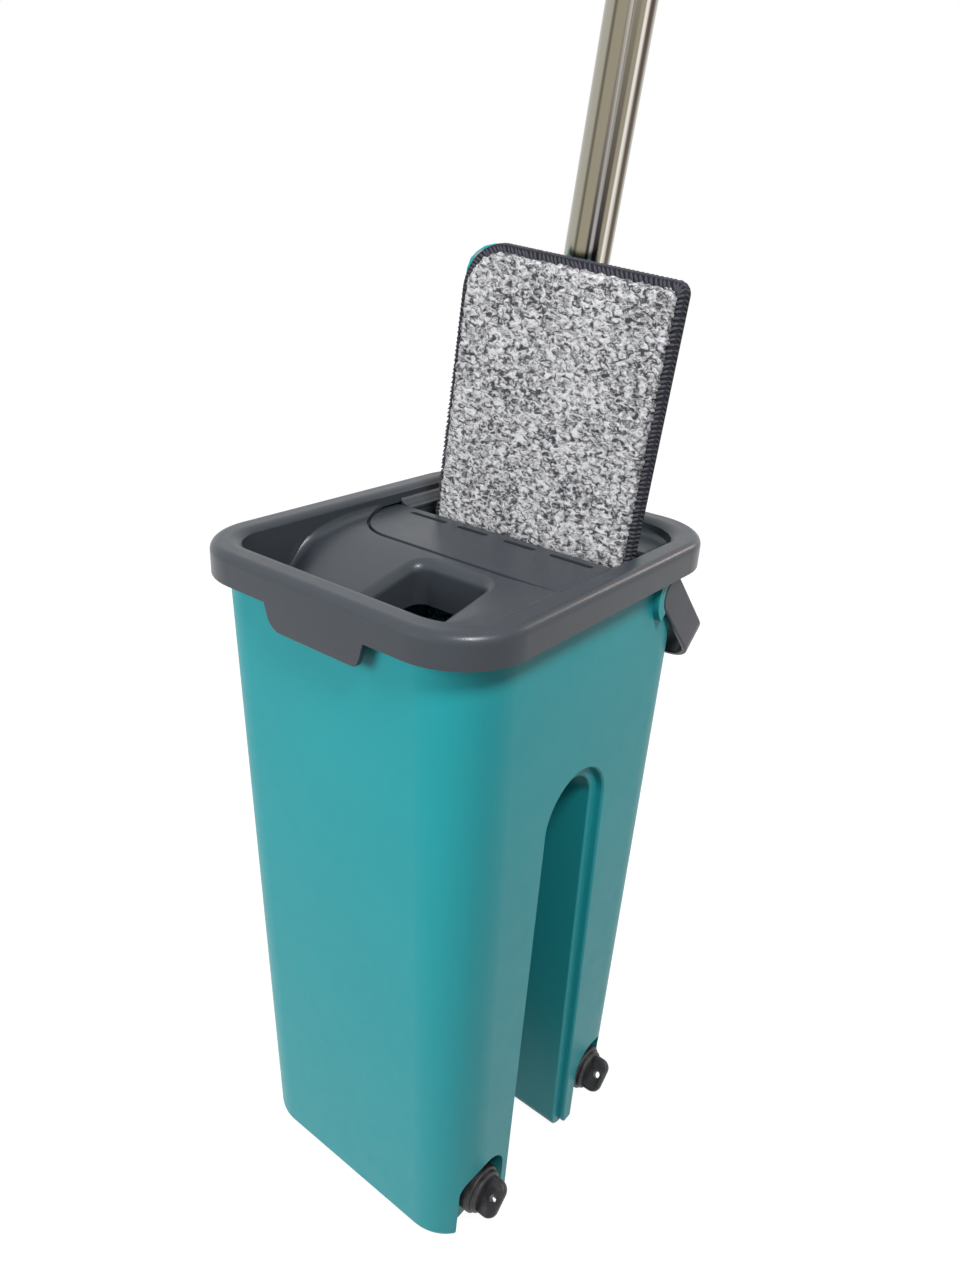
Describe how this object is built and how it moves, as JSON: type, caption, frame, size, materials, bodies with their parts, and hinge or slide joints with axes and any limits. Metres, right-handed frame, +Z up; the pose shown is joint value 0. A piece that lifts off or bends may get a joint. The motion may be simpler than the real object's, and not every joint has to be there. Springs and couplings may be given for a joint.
{
  "type": "flat mop with self-wringing bucket",
  "caption": "Flat mop on a telescopic steel handle, standing in a tall two-legged bucket whose slotted lid scrapes the pad as the head is drawn up.",
  "frame": {"origin": "bottom centre of the whole object's box at rest, on the floor that the bucket stands on", "axes": "+Z up; -Y is the bucket's front, the face with the arch and both drain plugs; the mop slot is at +X and the tray at -X"},
  "size_m": [0.2116, 0.195, 1.2246],
  "materials": {
    "teal_plastic": "satin teal polypropylene with a fine moulded grain",
    "graphite_plastic": "satin dark grey polypropylene",
    "black_rubber": "smooth black rubber",
    "pad_pile": "short looped microfibre, light and dark grey flecks",
    "pad_backing": "pale woven loop backing",
    "pad_binding": "charcoal overlocked yarn",
    "hook_tape": "dark hook tape",
    "zinc_steel": "zinc plated steel",
    "bright_steel": "polished stainless steel tube",
    "white_plastic": "natural white nylon"
  },
  "bodies": {
    "bucket": {"bucket_shell": "teal_plastic", "tray_lid": "graphite_plastic", "scraper_panel": "graphite_plastic", "scraper_holder": "graphite_plastic", "scraper_lip": "black_rubber"},
    "near_plug": {"drain_plug_near": "black_rubber"},
    "far_plug": {"drain_plug_far": "black_rubber"},
    "bail": {"carry_handle": "graphite_plastic"},
    "mop_head": {"pad_pile": "pad_pile", "pad_backing": "pad_backing", "pad_binding": "pad_binding", "hook_strip_left": "hook_tape", "hook_strip_right": "hook_tape", "mop_plate": "teal_plastic", "plate_bracket": "graphite_plastic", "bracket_screw_1": "zinc_steel", "bracket_screw_2": "zinc_steel", "bracket_screw_3": "zinc_steel", "bracket_screw_4": "zinc_steel", "head_pin": "zinc_steel"},
    "swivel": {"swivel_block": "graphite_plastic", "yoke_pin": "zinc_steel"},
    "lower_pole": {"handle_yoke": "graphite_plastic", "tube_rivet": "zinc_steel", "lower_tube": "bright_steel", "tube_bush": "white_plastic"},
    "lock_collar": {"lock_sleeve": "graphite_plastic"},
    "upper_pole": {"upper_tube": "bright_steel", "lock_cone": "white_plastic", "hand_grip": "graphite_plastic", "hang_cap": "teal_plastic"}
  },
  "joints": [
    {"name": "near_plug_pull", "type": "slide", "parent": "bucket", "child": "near_plug", "axis": [0, -1, 0], "range_m": [0, 0.025]},
    {"name": "far_plug_pull", "type": "slide", "parent": "bucket", "child": "far_plug", "axis": [0, -1, 0], "range_m": [0, 0.025]},
    {"name": "bail_swing", "type": "hinge", "parent": "bucket", "child": "bail", "pos_m": [0.06041, 0.0098, 0.3538], "axis": [0, -1, 0], "range_deg": [0, 50]},
    {"name": "mop_lift", "type": "slide", "parent": "bucket", "child": "mop_head", "axis": [-0.015, -0.1131, 0.9935], "range_m": [-0.01, 0.25]},
    {"name": "head_pitch", "type": "hinge", "parent": "mop_head", "child": "swivel", "pos_m": [0.06264, 0.01297, 0.35742], "axis": [-0.0832, 0.9903, 0.1115], "range_deg": [0, 24]},
    {"name": "pole_swivel", "type": "hinge", "parent": "swivel", "child": "lower_pole", "pos_m": [0.06234, 0.01071, 0.37729], "axis": [0.9964, 0.0809, 0.0243], "range_deg": [-60, 60]},
    {"name": "lock_twist", "type": "hinge", "parent": "lower_pole", "child": "lock_collar", "pos_m": [0.06264, 0.01297, 0.35742], "axis": [-0.015, -0.1131, 0.9935], "range_deg": [0, 90]},
    {"name": "pole_extend", "type": "slide", "parent": "lower_pole", "child": "upper_pole", "axis": [-0.015, -0.1131, 0.9935], "range_m": [0, 0.4]}
  ]
}
